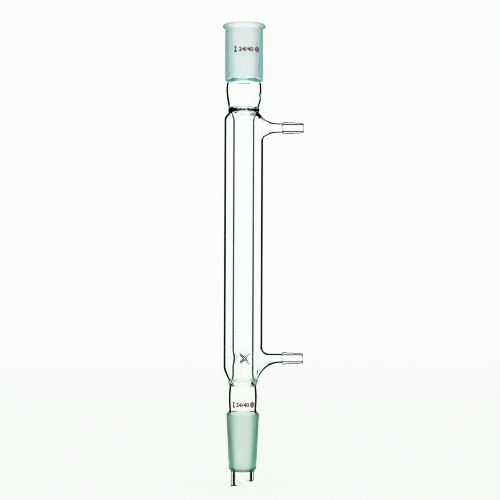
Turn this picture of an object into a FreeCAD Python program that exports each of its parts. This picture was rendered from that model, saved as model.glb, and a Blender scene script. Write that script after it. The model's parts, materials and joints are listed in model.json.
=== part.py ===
"""Jacketed condenser with indented inner tube, blown and fused as one piece of glass.

Millimetres. +Z runs up the axis and +X towards the two hose connections. The origin lies on the
axis, in the plane of the lower ground cone's wide end.
"""

import FreeCAD, Part
import Sketcher

import math
import os

os.makedirs("parts", exist_ok=True)

SIZES = {
    # Ground joints, the same taper outside at the bottom and inside at the top
    "joint_wide": 24.0,  # diameter at the wide end
    "joint_length": 40.0,  # ground length
    "joint_taper": 10.0,  # length over which the diameter loses one millimetre
    # Lower cone and drip tube
    "cone_bevel": 2.2,  # height of the slope above the cone
    "cone_foot": 1.6,  # height of the slope under the cone
    "cone_wall": 2.5,  # glass at the cone's wide end
    "drip_diameter": 17.0,
    "drip_wall": 2.8,
    "drip_length": 13.0,  # from the cone's small end to the lowest point
    "drip_angle": 15.0,  # slant of the cut end, in degrees
    # Lower neck
    "lower_neck_length": 23.8,  # from the cone's wide end to the lower ring seal
    "lower_neck_diameter": 19.7,  # at its two ends
    "lower_neck_swell": 0.45,  # how far the wall bows out between them
    "neck_wall": 1.25,  # both necks
    # Ring seals, where inner tube, jacket and neck are fused
    "lower_seal_diameter": 20.9,
    "lower_seal_height": 3.3,
    "upper_seal_diameter": 22.1,
    "upper_seal_height": 3.9,
    "seal_step": 1.1,  # height of the slope between a ring and the neck under it
    # Jacket
    "jacket_diameter": 28.5,
    "jacket_length": 200.0,  # from ring seal to ring seal
    "jacket_wall": 1.3,
    "lower_shoulder_foot": 21.6,  # diameter where it leaves the ring seal
    "lower_shoulder_angle": 24.4,  # slope from the axis, in degrees
    "lower_shoulder_radius": 7.0,
    "upper_shoulder_angle": 43.0,
    "upper_shoulder_radius": 7.0,
    # Inner tube
    "inner_diameter": 15.6,
    "inner_wall": 1.1,
    "lower_funnel_rise": 0.6,  # how far the tube widens into the ring seal
    "lower_funnel_length": 4.5,
    "upper_funnel_rise": 1.3,
    "upper_funnel_length": 4.4,
    "wedge_gap": 0.75,  # width left of the cooling space at its two closed ends
    # Indentations of the inner tube
    "dent_height": 17.4,  # above the lower ring seal
    "dent_depth": 2.1,
    "dent_length": 10.4,
    "dent_count": 3,
    # Upper neck
    "upper_neck_length": 23.2,  # from the upper ring seal to the ground socket's small end
    "upper_neck_diameter": 25.4,  # under the socket
    "upper_neck_swell": 0.9,
    # Upper socket
    "socket_diameter": 28.1,
    "socket_foot": 1.0,  # how far the thick wall reaches below the ground length
    "socket_slope": 1.8,  # height of the slope from socket to neck
    "rim_diameter": 31.6,
    "rim_height": 3.6,
    "rim_band": 1.4,  # height of its widest part
    "rim_top_diameter": 29.2,
    "mouth_bevel": 0.6,
    # Hose connections
    "hose_reach": 44.0,  # from the axis to the open end
    "hose_diameter": 6.2,  # thin tube behind the serrations
    "hose_wall": 0.9,
    "lower_hose_height": 17.3,  # above the lower ring seal
    "upper_hose_drop": 13.1,  # below the upper ring seal
    "barb_length": 15.7,
    "barb_base_diameter": 9.2,  # over the first ridge
    "barb_tip_diameter": 8.1,  # over the last ridge
    "barb_shoulder": 0.7,  # length of the sloped step from tube to serrations
    "ridge_count": 3,
    "ridge_height": 0.5,
    "ridge_rise": 1.5,  # length of a ridge's steep side
    "tip_bevel": 0.4,  # inside and outside of the open end
    # Flares that join the hose connections to the jacket
    "flare_depth": 1.95,  # how far inside the jacket's surface a flare's curve ends
    "flare_sweep": 72.0,  # share of the quarter curve that shows, in degrees
    "flare_steps": 5,
    "flare_side_reach": 3.5,
    "upper_straight": 4.3,  # plain tube between flare and serrations
    "upper_reach_up": 8.4,
    "upper_reach_down": 8.0,
    "lower_straight": 0.6,
    "lower_reach_up": 4.2,
    "lower_reach_down": 11.0,
    "flare_root": 3.0,  # how far a flare runs on inside the jacket's wall
}


class Size:
    """A size with its number now and the sheet expression that it follows."""

    def __init__(self, value, text):
        self.value = value
        self.text = text

    def combine(self, other, sign, value):
        return Size(value, f"({self.text} {sign} {as_size(other).text})")

    def __add__(self, other):
        return self.combine(other, "+", self.value + as_size(other).value)

    def __sub__(self, other):
        return self.combine(other, "-", self.value - as_size(other).value)

    def __mul__(self, other):
        return self.combine(other, "*", self.value * as_size(other).value)

    def __truediv__(self, other):
        return self.combine(other, "/", self.value / as_size(other).value)

    def __neg__(self):
        return Size(-self.value, f"(-1 * {self.text})")


def as_size(number):
    return number if isinstance(number, Size) else Size(float(number), repr(float(number)))


def of_angle(name, degrees):
    """The sine, cosine or tangent of an angle in degrees."""
    return Size(getattr(math, name)(math.radians(degrees.value)), f"{name}({degrees.text})")


def bow_radius(chord, rise):
    """Radius of the arc that stands a given rise above its chord."""
    return (chord * chord / 4 + rise * rise) / (rise * 2)


doc = FreeCAD.newDocument("condenser")
sheet = doc.addObject("Spreadsheet::Sheet", "sizes")
for row, (alias, number) in enumerate(SIZES.items(), start=1):
    sheet.set(f"A{row}", alias)
    sheet.set(f"B{row}", str(number))
    sheet.setAlias(f"B{row}", alias)
doc.recompute()


def size(alias):
    return Size(float(SIZES[alias]), f"sizes.{alias}")


ZERO = as_size(0)
body = doc.addObject("PartDesign::Body", "condenser")
body.Label = "condenser"


def origin_feature(role):
    """One of the body's own origin planes or axes."""
    return next(item for item in body.Origin.OriginFeatures if item.Role == role)


def new_sketch(name, role):
    sketch = body.newObject("Sketcher::SketchObject", name)
    sketch.AttachmentSupport = (origin_feature(role), [""])
    sketch.MapMode = "FlatFace"
    return sketch


def pin(sketch, kind, geometry, point, length):
    """Holds one coordinate of a sketch point at a size."""
    if length.value == 0:
        axis = -2 if kind == "DistanceX" else -1
        sketch.addConstraint(Sketcher.Constraint("PointOnObject", geometry, point, axis))
        return
    index = sketch.addConstraint(Sketcher.Constraint(kind, -1, 1, geometry, point, length.value))
    sketch.setExpression(f"Constraints[{index}]", length.text)


def arc_middle(start, end, radius):
    """Middle of the arc from start to end. A positive radius bows to the right of the way there."""
    way = end - start
    right = FreeCAD.Vector(way.y, -way.x, 0).normalize()
    reach = abs(radius)
    rise = reach - math.sqrt(reach**2 - (way.Length / 2) ** 2)
    return start + way / 2 + right * math.copysign(rise, radius)


def outline(name, corners, axis_height=None):
    """Draws a closed half section on the upright plane.

    Each corner is its distance from the axis, its height and, where an arc leads to it, the arc's
    radius. With axis_height the section turns about a level axis there, and a construction line
    marks that axis.
    """
    sketch = new_sketch(name, "XZ_Plane")
    places = [FreeCAD.Vector(corner[0].value, corner[1].value, 0) for corner in corners]
    ends = []
    for number, corner in enumerate(corners):
        start, end = places[number - 1], places[number]
        if len(corner) == 2:
            geometry = sketch.addGeometry(Part.LineSegment(start, end))
            ends.append((geometry, 1, 2))
            continue
        middle = arc_middle(start, end, corner[2].value)
        geometry = sketch.addGeometry(Part.Arc(start, middle, end))
        forward = sketch.Geometry[geometry].StartPoint.distanceToPoint(start) < 1e-6
        ends.append((geometry, 1, 2) if forward else (geometry, 2, 1))
    for number, (geometry, _, last) in enumerate(ends):
        following, first, _ = ends[(number + 1) % len(ends)]
        sketch.addConstraint(Sketcher.Constraint("Coincident", geometry, last, following, first))
        pin(sketch, "DistanceX", geometry, last, corners[number][0])
        pin(sketch, "DistanceY", geometry, last, corners[number][1])
        if len(corners[number]) == 3:
            radius = corners[number][2]
            index = sketch.addConstraint(Sketcher.Constraint("Radius", geometry, abs(radius.value)))
            sketch.setExpression(f"Constraints[{index}]", f"abs({radius.text})")
    if axis_height is not None:
        ahead = FreeCAD.Vector(places[0].x + 1, axis_height.value, 0)
        line = Part.LineSegment(FreeCAD.Vector(places[0].x, axis_height.value, 0), ahead)
        axis = sketch.addGeometry(line, True)
        sketch.addConstraint(Sketcher.Constraint("Horizontal", axis))
        pin(sketch, "DistanceY", axis, 1, axis_height)
        pin(sketch, "DistanceX", axis, 1, corners[0][0])
        sketch.addConstraint(Sketcher.Constraint("DistanceX", axis, 1, axis, 2, 1.0))
    return sketch


def turned(kind, name, corners, axis_height=None):
    """Revolution or Groove of a half section, all the way round."""
    sketch = outline(f"{name}_section", corners, axis_height)
    feature = body.newObject(f"PartDesign::{kind}", name)
    feature.Profile = sketch
    feature.ReferenceAxis = (sketch, ["V_Axis" if axis_height is None else "Axis0"])
    feature.Angle = 360
    doc.recompute()
    return feature


# Heights along the axis
cone_end = -size("joint_length")
tip = cone_end - size("drip_length")
lower_seal = size("lower_neck_length")
upper_seal = lower_seal + size("jacket_length")
socket_end = upper_seal + size("upper_neck_length")
mouth = socket_end + size("joint_length")
BEYOND = 5  # how far a cutting section runs past an open end

# Radii
joint_wide = size("joint_wide") / 2
joint_small = joint_wide - size("joint_length") / size("joint_taper") / 2
drip = size("drip_diameter") / 2
drip_bore = drip - size("drip_wall")
lower_neck = size("lower_neck_diameter") / 2
lower_ring = size("lower_seal_diameter") / 2
upper_ring = size("upper_seal_diameter") / 2
jacket = size("jacket_diameter") / 2
jacket_bore = jacket - size("jacket_wall")
inner = size("inner_diameter") / 2
inner_bore = inner - size("inner_wall")
upper_neck = size("upper_neck_diameter") / 2
socket = size("socket_diameter") / 2
rim = size("rim_diameter") / 2
rim_top = size("rim_top_diameter") / 2
lower_funnel = inner + size("lower_funnel_rise")
upper_funnel = inner + size("upper_funnel_rise")

# Edges of the two rings, and where each shoulder's cone would meet the jacket's cylinder
lower_ring_half = size("lower_seal_height") / 2
upper_ring_half = size("upper_seal_height") / 2
lower_slope = of_angle("tan", size("lower_shoulder_angle"))
upper_slope = of_angle("tan", size("upper_shoulder_angle"))
lower_foot = size("lower_shoulder_foot") / 2
lower_corner = lower_seal + lower_ring_half + (jacket - lower_foot) / lower_slope
upper_corner = upper_seal - upper_ring_half - (jacket - upper_ring) / upper_slope


def shoulder(side, corner, cylinder, bend_radius):
    """The two places where a shoulder's arc meets its cone and the jacket's cylinder.

    They are given as distance from the axis and height, the cone's first. The corner is the height
    at which cone and cylinder would meet.
    """
    angle = size(f"{side}_shoulder_angle")
    reach = bend_radius * of_angle("tan", angle / 2)
    way = 1 if side == "lower" else -1
    on_cone = (
        cylinder - reach * of_angle("sin", angle),
        corner - reach * of_angle("cos", angle) * way,
    )
    return on_cone, (cylinder, corner + reach * way)


def neck_bow(low, high, swell):
    """Radius of a neck's bowed wall between two heights."""
    return bow_radius(high - low, size(swell))


lower_neck_top = lower_seal - lower_ring_half - size("seal_step")
lower_neck_bow = neck_bow(size("cone_bevel"), lower_neck_top, "lower_neck_swell")
upper_neck_foot = upper_seal + upper_ring_half
upper_neck_top = socket_end - size("socket_foot") - size("socket_slope")
upper_neck_bow = neck_bow(upper_neck_foot, upper_neck_top, "upper_neck_swell")
lower_bend = size("lower_shoulder_radius")
upper_bend = size("upper_shoulder_radius")
lower_on_cone, lower_on_jacket = shoulder("lower", lower_corner, jacket, lower_bend)
upper_on_cone, upper_on_jacket = shoulder("upper", upper_corner, jacket, upper_bend)

turned(
    "Revolution",
    "outside",
    [
        (ZERO, tip),
        (drip, tip),
        (drip, cone_end - size("cone_foot")),
        (joint_small, cone_end),
        (joint_wide, ZERO),
        (lower_neck, size("cone_bevel")),
        (lower_neck, lower_neck_top, lower_neck_bow),
        (lower_ring, lower_seal - lower_ring_half),
        (lower_foot, lower_seal + lower_ring_half),
        lower_on_cone,
        (*lower_on_jacket, lower_bend),
        upper_on_jacket,
        (*upper_on_cone, upper_bend),
        (upper_ring, upper_seal - upper_ring_half),
        (upper_ring, upper_neck_foot),
        (upper_neck, upper_neck_top, upper_neck_bow),
        (socket, socket_end - size("socket_foot")),
        (socket, mouth - size("rim_height")),
        (rim, mouth - (size("rim_height") + size("rim_band")) / 2),
        (rim, mouth - (size("rim_height") - size("rim_band")) / 2),
        (rim_top, mouth),
        (ZERO, mouth),
    ],
)

# The hose connections: flares drawn out of the jacket, and serrated ends
lower_hose = lower_seal + size("lower_hose_height")
upper_hose = upper_seal - size("upper_hose_drop")
hose = size("hose_diameter") / 2
hose_bore = hose - size("hose_wall")
barb_start = size("hose_reach") - size("barb_length")
flare_end = jacket - size("flare_depth")


def oval(name, station, centre, half_height, half_width):
    """A loft section square to +X: a circle, or an ellipse whose long axis is upright."""
    sketch = new_sketch(name, "YZ_Plane")
    quarter_turn = FreeCAD.Rotation(FreeCAD.Vector(0, 0, 1), 90)
    place = FreeCAD.Vector(0, 0, station.value)
    sketch.AttachmentOffset = FreeCAD.Placement(place, quarter_turn)
    sketch.setExpression("AttachmentOffset.Base.z", station.text)
    middle = FreeCAD.Vector(centre.value, 0, 0)
    if half_width is half_height:
        axis = FreeCAD.Vector(0, 0, 1)
        curve = sketch.addGeometry(Part.Circle(middle, axis, half_height.value))
        radius = sketch.addConstraint(Sketcher.Constraint("Radius", curve, half_height.value))
        sketch.setExpression(f"Constraints[{radius}]", half_height.text)
    else:
        high = middle + FreeCAD.Vector(half_height.value, 0, 0)
        wide = middle + FreeCAD.Vector(0, half_width.value, 0)
        curve = sketch.addGeometry(Part.Ellipse(high, wide, middle))
        sketch.exposeInternalGeometry(curve)
        sketch.addConstraint(Sketcher.Constraint("Horizontal", curve + 1))
        for line, half in ((curve + 1, half_height), (curve + 2, half_width)):
            index = sketch.addConstraint(Sketcher.Constraint("Distance", line, 2 * half.value))
            sketch.setExpression(f"Constraints[{index}]", f"2 * {half.text}")
    sketch.addConstraint(Sketcher.Constraint("PointOnObject", curve, 3, -1))
    index = sketch.addConstraint(Sketcher.Constraint("DistanceX", -1, 1, curve, 3, centre.value))
    sketch.setExpression(f"Constraints[{index}]", centre.text)
    return sketch


def flare(kind, side, height, wall):
    """Trumpet from the thin tube to the jacket, its surface moved inwards by a wall."""
    name = f"{side}_flare_{'outside' if wall is ZERO else 'inside'}"
    straight = size(f"{side}_straight")
    up, down = size(f"{side}_reach_up"), size(f"{side}_reach_down")
    run = barb_start - straight - flare_end
    half = hose - wall
    sections = [oval(f"{name}_0", flare_end + run, height, half, half)]
    steps = SIZES["flare_steps"]
    for step in range(1, steps + 1):
        angle = size("flare_sweep") * step / size("flare_steps")
        widening = as_size(1) - of_angle("cos", angle)
        inset = wall * of_angle("cos", angle)
        station = flare_end + run - (run + wall) * of_angle("sin", angle)
        half = hose + (up + down) / 2 * widening - inset
        half_width = hose + size("flare_side_reach") * widening - inset
        centre = height + (up - down) / 2 * widening
        sections.append(oval(f"{name}_{step}", station, centre, half, half_width))
    deep = station - size("flare_root")
    sections.append(oval(f"{name}_{steps + 1}", deep, centre, half, half_width))
    feature = body.newObject(f"PartDesign::{kind}", name)
    feature.Profile = sections[0]
    feature.Sections = sections[1:]
    doc.recompute()
    return flare_end + run


def serrated_end(side, height, tube_start):
    """Thin tube with a serrated end, turned about the connection's own axis."""
    ridges = SIZES["ridge_count"]
    serrated_start = barb_start + size("barb_shoulder")
    pitch = (size("barb_length") - size("barb_shoulder")) / size("ridge_count")
    base = size("barb_base_diameter") / 2
    loss = (base - size("barb_tip_diameter") / 2) / (size("ridge_count") - 1)
    corners = [
        (tube_start, height),
        (tube_start, height + hose),
        (barb_start, height + hose),
        (serrated_start, height + base - size("ridge_height")),
    ]
    for ridge in range(ridges):
        peak = base - loss * ridge
        start = serrated_start + pitch * ridge
        corners.append((start + size("ridge_rise"), height + peak))
        if ridge < ridges - 1:
            corners.append((start + pitch, height + peak - size("ridge_height")))
    tip_edge = height + peak - size("ridge_height")
    corners += [
        (size("hose_reach") - size("tip_bevel"), tip_edge),
        (size("hose_reach"), tip_edge - size("tip_bevel")),
        (size("hose_reach"), height),
    ]
    turned("Revolution", f"{side}_serrated_end", corners, height)


for side, height in (("lower", lower_hose), ("upper", upper_hose)):
    tube_start = flare("AdditiveLoft", side, height, ZERO)
    serrated_end(side, height, tube_start)

# The way of the vapour, from the socket's mouth to the drip tip
cone_bore = joint_wide - size("cone_wall")
lower_neck_bore = lower_neck - size("neck_wall")
upper_neck_bore = upper_neck - size("neck_wall")
lower_lean = size("jacket_wall") / of_angle("cos", size("lower_shoulder_angle"))
upper_lean = size("jacket_wall") / of_angle("cos", size("upper_shoulder_angle"))
lower_wedge_rim = lower_funnel + size("wedge_gap")
upper_wedge_rim = upper_funnel + size("wedge_gap")
lower_wedge = lower_corner - (jacket - lower_lean - lower_wedge_rim) / lower_slope
upper_wedge = upper_corner + (jacket - upper_lean - upper_wedge_rim) / upper_slope
lower_funnel_bore = lower_funnel - size("inner_wall")
upper_funnel_bore = upper_funnel - size("inner_wall")
lower_funnel_top = lower_wedge + size("lower_funnel_length")
upper_funnel_foot = upper_wedge - size("upper_funnel_length")
turned(
    "Groove",
    "vapour_way",
    [
        (ZERO, tip - BEYOND),
        (drip_bore, tip - BEYOND),
        (drip_bore, cone_end),
        (cone_bore, ZERO),
        (lower_neck_bore, size("cone_bevel")),
        (lower_neck_bore, lower_neck_top, lower_neck_bow),
        (lower_funnel_bore, lower_seal),
        (inner_bore, lower_funnel_top),
        (inner_bore, upper_funnel_foot),
        (upper_funnel_bore, upper_wedge),
        (upper_ring - size("neck_wall"), upper_neck_foot),
        (upper_neck_bore, upper_neck_top, upper_neck_bow),
        (joint_small, socket_end),
        (joint_wide - size("mouth_bevel") / size("joint_taper") / 2, mouth - size("mouth_bevel")),
        (joint_wide + size("mouth_bevel"), mouth),
        (joint_wide + size("mouth_bevel"), mouth + BEYOND),
        (ZERO, mouth + BEYOND),
    ],
)

# Indentations of the inner tube: the wall bulges into the bore and is hollow outside
dent_axis = lower_seal + size("dent_height")
dent_half = size("dent_length") / 2
dent_radius = bow_radius(size("dent_length"), size("dent_depth"))
dent_centre = inner - size("dent_depth") + dent_radius
dent_growth = (dent_radius + size("inner_wall")) / dent_radius
bulge_edge = dent_centre - (dent_centre - inner) * dent_growth


def round_the_tube(feature, name):
    pattern = body.newObject("PartDesign::PolarPattern", name)
    pattern.Originals = [feature]
    pattern.Axis = (origin_feature("Z_Axis"), [""])
    pattern.Angle = 360
    pattern.Occurrences = SIZES["dent_count"]
    pattern.setExpression("Occurrences", "sizes.dent_count")
    body.Tip = pattern
    doc.recompute()
    return pattern


bulge = turned(
    "Revolution",
    "dent_bulge",
    [
        (-(inner + size("jacket_wall")), dent_axis),
        (-(dent_centre - dent_radius - size("inner_wall")), dent_axis),
        (
            -bulge_edge,
            dent_axis + dent_half * dent_growth,
            dent_radius + size("inner_wall"),
        ),
        (-(inner + size("jacket_wall")), dent_axis + dent_half * dent_growth),
    ],
    dent_axis,
)
round_the_tube(bulge, "dent_bulges")

# The cooling space between inner tube and jacket
lower_bore_corner = lower_corner + (lower_lean - size("jacket_wall")) / lower_slope
upper_bore_corner = upper_corner - (upper_lean - size("jacket_wall")) / upper_slope
lower_bend_inside = lower_bend - size("jacket_wall")
upper_bend_inside = upper_bend - size("jacket_wall")
lower_in_cone, lower_in_jacket = shoulder("lower", lower_bore_corner, jacket_bore, lower_bend_inside)
upper_in_cone, upper_in_jacket = shoulder("upper", upper_bore_corner, jacket_bore, upper_bend_inside)
turned(
    "Groove",
    "cooling_space",
    [
        (inner, lower_funnel_top),
        (lower_funnel, lower_wedge),
        (lower_wedge_rim, lower_wedge),
        lower_in_cone,
        lower_in_jacket,
        upper_in_jacket,
        upper_in_cone,
        (upper_wedge_rim, upper_wedge),
        (upper_funnel, upper_wedge),
        (inner, upper_funnel_foot),
    ],
)
hollow = turned(
    "Groove",
    "dent_hollow",
    [
        (-inner, dent_axis),
        (-(dent_centre - dent_radius), dent_axis),
        (-inner, dent_axis + dent_half, dent_radius),
    ],
    dent_axis,
)
round_the_tube(hollow, "dent_hollows")


for side, height in (("lower", lower_hose), ("upper", upper_hose)):
    tube_start = flare("SubtractiveLoft", side, height, size("hose_wall"))
    turned(
        "Groove",
        f"{side}_hose_bore",
        [
            (tube_start, height),
            (tube_start, height + hose_bore),
            (size("hose_reach") - size("tip_bevel"), height + hose_bore),
            (size("hose_reach"), height + hose_bore + size("tip_bevel")),
            (size("hose_reach") + BEYOND, height + hose_bore + size("tip_bevel")),
            (size("hose_reach") + BEYOND, height),
        ],
        height,
    )

# The slanted cut of the drip tip, lowest on the side away from the hose connections
slant = of_angle("tan", size("drip_angle"))
cut_section = outline(
    "drip_cut_section",
    [
        (-(drip + BEYOND), tip - slant * BEYOND),
        (drip + BEYOND, tip + slant * (drip * 2 + BEYOND)),
        (drip + BEYOND, tip - BEYOND),
        (-(drip + BEYOND), tip - BEYOND),
    ],
)
drip_cut = body.newObject("PartDesign::Pocket", "drip_cut")
drip_cut.Profile = cut_section
drip_cut.Midplane = True
drip_cut.Length = (drip * 4).value
drip_cut.setExpression("Length", (drip * 4).text)
doc.recompute()

for item in doc.Objects:
    if "Invalid" in item.State or "Error" in item.State:
        raise RuntimeError(f"{item.Label} is {item.State}")
if body.Shape.isNull() or not body.Shape.isValid():
    raise RuntimeError("the condenser's shape is not valid")
body.Shape.exportStep("parts/condenser.step")
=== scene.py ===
"""Looks of a jacketed condenser: clear blown glass, two ground tapers and fired-on size marks.

The glass is modelled in millimetres round the part's own axis and scaled to metres at the end. +Z
runs up the axis and +X towards the two hose connections.
"""

import json
import logging
import math
from collections.abc import Iterable, Sequence
from dataclasses import dataclass, field
from enum import Enum
from functools import reduce

import bmesh
import bpy
from mathutils import Matrix, Vector, kdtree, noise

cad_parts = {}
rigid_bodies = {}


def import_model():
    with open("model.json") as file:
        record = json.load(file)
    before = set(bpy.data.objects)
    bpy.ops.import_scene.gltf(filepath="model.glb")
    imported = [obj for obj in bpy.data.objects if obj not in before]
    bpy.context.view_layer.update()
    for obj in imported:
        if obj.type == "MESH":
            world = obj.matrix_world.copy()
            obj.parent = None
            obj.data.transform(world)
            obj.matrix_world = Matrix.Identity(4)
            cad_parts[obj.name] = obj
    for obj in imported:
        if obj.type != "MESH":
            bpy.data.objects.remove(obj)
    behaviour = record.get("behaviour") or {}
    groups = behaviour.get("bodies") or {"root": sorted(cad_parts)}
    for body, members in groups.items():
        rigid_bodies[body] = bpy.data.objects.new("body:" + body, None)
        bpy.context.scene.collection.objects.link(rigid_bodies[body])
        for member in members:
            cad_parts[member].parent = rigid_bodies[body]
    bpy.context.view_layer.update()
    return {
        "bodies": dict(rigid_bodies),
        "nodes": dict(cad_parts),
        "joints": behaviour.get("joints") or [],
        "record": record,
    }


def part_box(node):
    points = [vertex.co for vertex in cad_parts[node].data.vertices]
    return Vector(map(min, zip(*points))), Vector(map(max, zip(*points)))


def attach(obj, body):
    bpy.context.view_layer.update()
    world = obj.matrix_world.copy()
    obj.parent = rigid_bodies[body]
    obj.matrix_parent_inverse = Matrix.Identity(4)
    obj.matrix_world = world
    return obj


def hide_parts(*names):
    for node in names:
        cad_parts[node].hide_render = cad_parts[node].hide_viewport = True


MM = 0.001
TURN = 2 * math.pi
AXIS = Vector((0, 0, 1))
NODE = "condenser"
BODY = "root"
WELD = 1e-4  # mm, points closer than this are one point
SLIVER = 0.004  # mm, what the cuts leave below this size is closed up
SHARP = 38.0  # degrees, a steeper edge isn't shaded smooth
LONGEST_ROUNDING = 0.45  # share of a run that one rounding may take
BOW_PIECES = 8  # least pieces of a bowed run

log = logging.getLogger("condenser")


class Finish(Enum):
    """Finishes of the glass, by material slot. Each paints shade where its surface is seen at a
    slant.
    """

    CLEAR = 0
    INNER_TUBE = 1
    INDENT = 2
    HOSE_END = 3
    DRIP_TUBE = 4
    PAINTED_SHADE_WELD = 5
    PALE_WELD = 6
    SOCKET_WALL = 7
    RIM = 8
    CONE_BORE = 9
    CONE_FOOT = 10
    SOCKET_GROUND = 11
    CONE_GROUND = 12


@dataclass(frozen=True)
class Places:
    """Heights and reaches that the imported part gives, in millimetres."""

    tip: float
    mouth: float
    lower_hose: float
    upper_hose: float
    hose_reach: float
    rim: float

    @classmethod
    def read(cls, frame: dict) -> "Places":
        """Reads the places from the mounts and from the part's box.

        Args:
            frame: The loaded frame.

        Returns:
            The places.
        """
        mounts = {mount["name"]: mount["pos_m"] for mount in frame["record"]["mounts"]}
        low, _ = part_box(NODE)
        return cls(
            tip=low[2] / MM,
            mouth=mounts["upper_joint"][2] / MM,
            lower_hose=mounts["lower_hose_connection"][2] / MM,
            upper_hose=mounts["upper_hose_connection"][2] / MM,
            hose_reach=mounts["lower_hose_connection"][0] / MM,
            rim=-low[0] / MM,
        )


@dataclass(frozen=True)
class Corner:
    """One corner of a section, and the run that leads to it."""

    across: float  # distance from the axis that the section turns about
    along: float  # place along that axis
    rounding: float = 0.0  # how far from the corner its rounding reaches
    bow: float = 0.0  # how far the run stands out to the right of its chord
    step: float = 4.0  # longest piece of the run

    @property
    def place(self) -> Vector:
        """The corner as a point of the section's plane."""
        return Vector((self.across, self.along))


def drawn(corners: Sequence[Corner], closed: bool = True, round_steps: int = 5) -> list[Vector]:
    """Draws a section as a row of points, with each rounding as a curve.

    Args:
        corners: The corners in order.
        closed: True if the last corner leads back to the first.
        round_steps: Pieces of each rounding.

    Returns:
        The points in order, with no point twice.
    """
    count = len(corners)
    cuts = []
    for index, corner in enumerate(corners):
        rounding = corner.rounding
        if not closed and index in (0, count - 1):
            rounding = 0.0
        ends = []
        for neighbour in (corners[index - 1], corners[(index + 1) % count]):
            run = neighbour.place - corner.place
            cut = min(rounding, run.length * LONGEST_ROUNDING)
            ends.append(corner.place + run.normalized() * cut)
        cuts.append(ends)
    points = []
    for index, corner in enumerate(corners):
        start, end = cuts[index]
        if closed or index:
            previous = cuts[index - 1][1]
            run = start - previous
            pieces = max(1, math.ceil(run.length / corner.step))
            if corner.bow:
                pieces = max(pieces, BOW_PIECES)
            side = Vector((run.y, -run.x)).normalized() * corner.bow
            for piece in range(1, pieces + 1):
                share = piece / pieces
                points.append(previous + run * share + side * 4 * share * (1 - share))
        else:
            points.append(start)
        if (end - start).length > WELD:
            for piece in range(1, round_steps + 1):
                share = piece / round_steps
                bend = start.lerp(corner.place, share).lerp(corner.place.lerp(end, share), share)
                points.append(bend)
    return points


def only(kind: type, items: Iterable[object]) -> list:
    """Picks the items of one kind, such as the points, in their order."""
    return [item for item in items if isinstance(item, kind)]


def everything(shape: bmesh.types.BMesh) -> list:
    """All points, edges and faces of a bmesh."""
    return [*shape.verts, *shape.edges, *shape.faces]


def as_bmesh(mesh: bpy.types.Mesh) -> bmesh.types.BMesh:
    """A new bmesh of a mesh's shape."""
    shape = bmesh.new()
    shape.from_mesh(mesh)
    return shape


def settled(shape: bmesh.types.BMesh) -> bmesh.types.BMesh:
    """Rebuilds a bmesh in an order that is the same in every run.

    A spin's faces and the points of joined solids come in a new order each time.

    Args:
        shape: The bmesh, which is freed.

    Returns:
        A bmesh of the same shape.
    """
    points = sorted(shape.verts, key=lambda point: tuple(point.co))
    for number, point in enumerate(points):
        point.index = number
    faces = []
    for face in shape.faces:
        row = [point.index for point in face.verts]
        first = row.index(min(row))
        faces.append(row[first:] + row[:first])
    mesh = bpy.data.meshes.new("settled")
    mesh.from_pydata([tuple(point.co) for point in points], [], sorted(faces))
    shape.free()
    rebuilt = as_bmesh(mesh)
    bpy.data.meshes.remove(mesh)
    return rebuilt


def spun(corners: Sequence[Corner], segments: int) -> bmesh.types.BMesh:
    """Turns a closed section all the way round the upright axis.

    Args:
        corners: The section's corners.
        segments: Steps of the full turn.

    Returns:
        A closed bmesh with its faces pointing outwards.
    """
    shape = bmesh.new()
    points = [shape.verts.new((point.x, 0, point.y)) for point in drawn(corners)]
    edges = [shape.edges.new(pair) for pair in zip(points, points[1:] + points[:1])]
    bmesh.ops.spin(
        shape,
        geom=points + edges,
        cent=(0, 0, 0),
        axis=AXIS,
        angle=TURN,
        steps=segments,
        use_merge=True,
    )
    bmesh.ops.remove_doubles(shape, verts=shape.verts, dist=WELD)
    bmesh.ops.recalc_face_normals(shape, faces=shape.faces)
    return settled(shape)


@dataclass(frozen=True)
class Ring:
    """An upright ellipse, square to +X, that a hose connection passes through."""

    x: float
    z: float
    half_width: float
    half_height: float

    @property
    def matrix(self) -> Matrix:
        """Moves a unit circle of the floor plane to the ring."""
        stretch = Matrix.Diagonal((1, self.half_width, self.half_height, 1))
        return Matrix.Translation((self.x, 0, self.z)) @ stretch @ Matrix.Rotation(TURN / 4, 4, "Y")


def trunk(rings: Sequence[Ring], segments: int) -> bmesh.types.BMesh:
    """Draws a circle out through a row of rings, and closes both ends.

    Args:
        rings: The rings in order.
        segments: Points of each ring.

    Returns:
        A closed bmesh with its faces pointing outwards.
    """
    shape = bmesh.new()
    bmesh.ops.create_circle(shape, segments=segments, radius=1, matrix=rings[0].matrix)
    edges = list(shape.edges)
    for here, there in zip(rings, rings[1:]):
        made = bmesh.ops.extrude_edge_only(shape, edges=edges)["geom"]
        points = only(bmesh.types.BMVert, made)
        fresh = set(points)
        edges = [edge for edge in only(bmesh.types.BMEdge, made) if set(edge.verts) <= fresh]
        move = there.matrix @ here.matrix.inverted()
        bmesh.ops.transform(shape, matrix=move, verts=points)
    bmesh.ops.holes_fill(shape, edges=shape.edges, sides=segments)
    bmesh.ops.recalc_face_normals(shape, faces=shape.faces)
    return shape


def linked(name: str, data: bpy.types.ID) -> bpy.types.Object:
    """Puts a mesh, curve, light or camera into the scene.

    Args:
        name: The object's name.
        data: The data that the object shows.

    Returns:
        The new object, at the origin.
    """
    placed = bpy.data.objects.new(name, data)
    bpy.context.scene.collection.objects.link(placed)
    return placed


def as_object(name: str, shape: bmesh.types.BMesh) -> bpy.types.Object:
    """Puts a bmesh into the scene as an object, and frees it.

    Args:
        name: The object's name.
        shape: The bmesh.

    Returns:
        The new object, at the origin.
    """
    mesh = bpy.data.meshes.new(name)
    shape.to_mesh(mesh)
    shape.free()
    return linked(name, mesh)


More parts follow.
